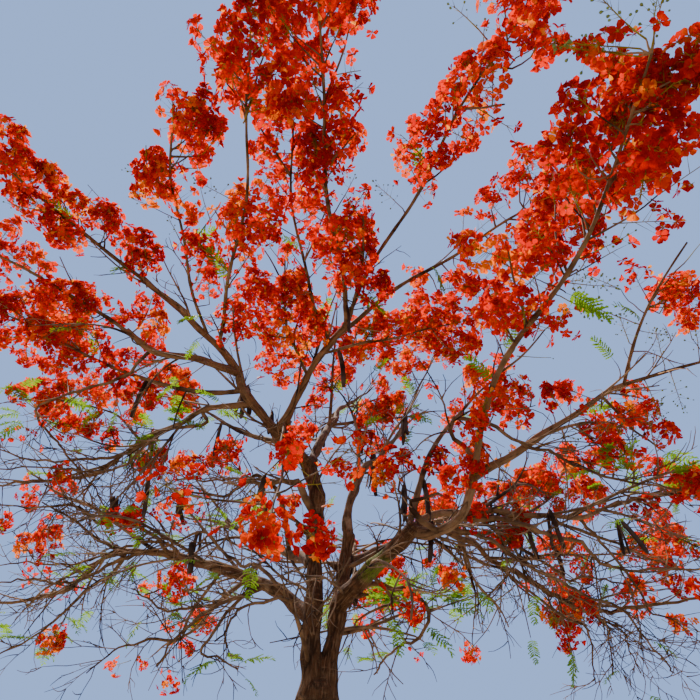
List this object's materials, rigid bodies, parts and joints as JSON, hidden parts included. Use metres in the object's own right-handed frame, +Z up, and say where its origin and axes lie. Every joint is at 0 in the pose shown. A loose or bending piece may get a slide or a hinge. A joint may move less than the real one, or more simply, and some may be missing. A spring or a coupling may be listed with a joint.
{
  "type": "flowering tree",
  "caption": "Flame tree in full scarlet blossom: flared trunk, twin stems, long arching boughs and a wide open umbrella crown with hanging pods.",
  "frame": {"origin": "centre of the trunk's flat cut at ground level", "axes": "+Z straight up along the trunk, +Y away from the picture's camera, +X to the camera's right"},
  "size_m": [9.5902, 9.8107, 7.9376],
  "materials": {
    "bark": "rough grey-brown bark",
    "blossom": "soft scarlet petals",
    "leaf": "fresh yellow-green leaflets"
  },
  "bodies": {
    "root": {"trunk": "bark", "stem_west": "bark", "stem_east": "bark", "bough_west_low": "bark", "bough_west_rise": "bark", "bough_west_far": "bark", "bough_southwest": "bark", "bough_west_mid": "bark", "bough_centre": "bark", "bough_north_high": "bark", "bough_east_top": "bark", "bough_east": "bark", "bough_east_rise": "bark", "bough_east_high": "bark", "bough_east_mid": "bark", "bough_east_low": "bark", "bough_northwest": "bark", "bough_north": "bark", "bough_northeast": "bark", "blossom_south": "blossom", "blossom_south_inner": "blossom", "blossom_south_left": "blossom", "blossom_southwest_inner": "blossom", "blossom_centre": "blossom", "blossom_south_right": "blossom", "blossom_south_east": "blossom", "blossom_southeast": "blossom", "blossom_centre_east": "blossom", "blossom_east_near": "blossom", "blossom_east_high_up": "blossom", "blossom_east_high": "blossom", "blossom_east_hanging": "blossom", "blossom_east_inner": "blossom", "blossom_east_mid": "blossom", "blossom_east_mid_up": "blossom", "blossom_east_low": "blossom", "blossom_east_low_up": "blossom", "blossom_east_under": "blossom", "blossom_north_high": "blossom", "blossom_top": "blossom", "blossom_northeast_high": "blossom", "blossom_east_top": "blossom", "blossom_northwest_high": "blossom", "blossom_northwest": "blossom", "blossom_northwest_back": "blossom", "blossom_north": "blossom", "blossom_north_low": "blossom", "blossom_northeast": "blossom", "blossom_northeast_back": "blossom", "blossom_northeast_low": "blossom", "blossom_west_low": "blossom", "blossom_west_low_back": "blossom", "blossom_west_low_front": "blossom", "blossom_west_mid": "blossom", "blossom_west_mid_up": "blossom", "blossom_west_over": "blossom", "blossom_west_far": "blossom", "blossom_southwest": "blossom", "blossom_front_low": "blossom", "leaves_low": "leaf"}
  },
  "joints": []
}
